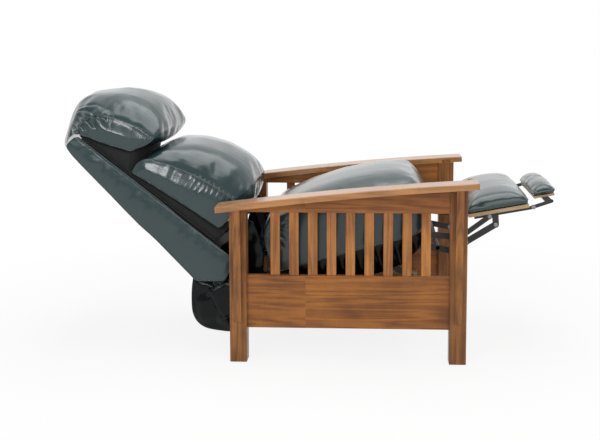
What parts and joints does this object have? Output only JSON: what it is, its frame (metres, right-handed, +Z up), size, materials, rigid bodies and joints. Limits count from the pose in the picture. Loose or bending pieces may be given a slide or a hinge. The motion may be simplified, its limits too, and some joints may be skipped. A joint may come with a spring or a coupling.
{
  "type": "mission reclining armchair",
  "caption": "Reclining armchair with slatted oak sides, bowed arms, leather cushions and a footrest that folds under the seat.",
  "frame": {"origin": "on the floor under the middle of the reclined chair", "axes": "+X forward from the seat, +Y to the sitter's left, +Z up"},
  "size_m": [1.7496, 0.768, 0.9232],
  "materials": {
    "oak": "satin lacquered oak with open grain",
    "hardwood": "planed, unfinished",
    "leather": "glossy dark grey green leather",
    "cushion_leather": "glossy dark grey green leather over foam and fibre",
    "black_lining": "smooth black",
    "webbing": "woven elastic",
    "mechanism_steel": "black enamel",
    "rivet_steel": "zinc plated",
    "glide_plastic": "moulded"
  },
  "bodies": {
    "base_frame": {"right_rear_post": "oak", "right_front_post": "oak", "right_arm": "oak", "right_bottom_rail": "oak", "right_top_rail": "oak", "right_slats": "oak", "right_base_plate": "mechanism_steel", "left_rear_post": "oak", "left_front_post": "oak", "left_arm": "oak", "left_bottom_rail": "oak", "left_top_rail": "oak", "left_slats": "oak", "left_base_plate": "mechanism_steel", "corbels": "oak", "leg_glides": "glide_plastic", "rear_rail": "oak", "mounting_cleats": "hardwood", "front_cross_bar": "mechanism_steel", "rear_cross_bar": "mechanism_steel", "base_rivets": "rivet_steel"},
    "front_swing": {"front_swing_links": "mechanism_steel"},
    "rear_swing": {"rear_swing_links": "mechanism_steel"},
    "seat": {"right_seat_plate": "mechanism_steel", "left_seat_plate": "mechanism_steel", "seat_side_rails": "hardwood", "seat_front_rail": "hardwood", "seat_rear_rail": "hardwood", "seat_springs": "rivet_steel", "seat_cushion": "cushion_leather", "seat_skirts": "leather", "seat_rivets": "rivet_steel"},
    "upper_lift": {"upper_lift_links": "mechanism_steel", "upper_lift_rivets": "rivet_steel"},
    "lower_lift": {"lower_lift_links": "mechanism_steel", "link_cross_tube": "mechanism_steel"},
    "carrier": {"carrier_links": "mechanism_steel", "carrier_rivets": "rivet_steel"},
    "guide": {"guide_links": "mechanism_steel"},
    "footrest": {"footrest_board": "hardwood", "footrest_pad": "cushion_leather", "footrest_brackets": "mechanism_steel", "footrest_rivets": "rivet_steel"},
    "flap": {"flap_brackets": "mechanism_steel", "flap_board": "hardwood", "flap_pad": "cushion_leather"},
    "back": {"right_wing": "cushion_leather", "left_wing": "cushion_leather", "back_stiles": "hardwood", "back_top_rail": "hardwood", "back_bottom_rail": "hardwood", "outside_back_panel": "leather", "back_webbing": "webbing", "back_lining": "black_lining", "lumbar_cushion": "cushion_leather", "head_pillow": "cushion_leather", "back_brackets": "mechanism_steel", "rear_curtain": "leather"}
  },
  "joints": [
    {"name": "front_swing", "type": "hinge", "parent": "base_frame", "child": "front_swing", "pos_m": [0.37798, 0, 0.1674], "axis": [0, -1, 0], "range_deg": [0, 29.39]},
    {"name": "rear_swing", "type": "hinge", "parent": "base_frame", "child": "rear_swing", "pos_m": [0.11758, 0, 0.2271], "axis": [0, -1, 0], "range_deg": [0, 49.47]},
    {"name": "seat_glide", "type": "hinge", "parent": "front_swing", "child": "seat", "pos_m": [0.20498, 0, 0.2579], "axis": [0, 1, 0], "range_deg": [0, 41.89]},
    {"name": "upper_lift", "type": "hinge", "parent": "seat", "child": "upper_lift", "pos_m": [0.40549, 0, 0.43135], "axis": [0, 1, 0], "range_deg": [0, 116.6]},
    {"name": "lower_lift", "type": "hinge", "parent": "seat", "child": "lower_lift", "pos_m": [0.38169, 0, 0.39345], "axis": [0, 1, 0], "range_deg": [0, 116.6]},
    {"name": "carrier", "type": "hinge", "parent": "upper_lift", "child": "carrier", "pos_m": [0.55479, 0, 0.40355], "axis": [0, -1, 0], "range_deg": [0, 116.6]},
    {"name": "guide", "type": "hinge", "parent": "upper_lift", "child": "guide", "pos_m": [0.53249, 0, 0.42045], "axis": [0, -1, 0], "range_deg": [0, 114.3]},
    {"name": "footrest_tilt", "type": "hinge", "parent": "carrier", "child": "footrest", "pos_m": [0.65639, 0, 0.46615], "axis": [0, 1, 0], "range_deg": [0, 87.7]},
    {"name": "flap_fold", "type": "hinge", "parent": "footrest", "child": "flap", "pos_m": [0.78577, 0, 0.52884], "axis": [0, 1, 0], "range_deg": [0, 175]},
    {"name": "back_recline", "type": "hinge", "parent": "seat", "child": "back", "pos_m": [-0.23302, 0, 0.448], "axis": [0, 1, 0], "range_deg": [0, 30]}
  ],
  "couplings": [
    {"joint": "rear_swing", "follows": "front_swing", "ratio": 1.6832},
    {"joint": "seat_glide", "follows": "front_swing", "ratio": 1.4253},
    {"joint": "upper_lift", "follows": "front_swing", "ratio": 3.9673},
    {"joint": "lower_lift", "follows": "front_swing", "ratio": 3.9673},
    {"joint": "carrier", "follows": "front_swing", "ratio": 3.9673},
    {"joint": "guide", "follows": "front_swing", "ratio": 3.889},
    {"joint": "footrest_tilt", "follows": "front_swing", "ratio": 2.984},
    {"joint": "flap_fold", "follows": "front_swing", "ratio": 5.9543}
  ]
}
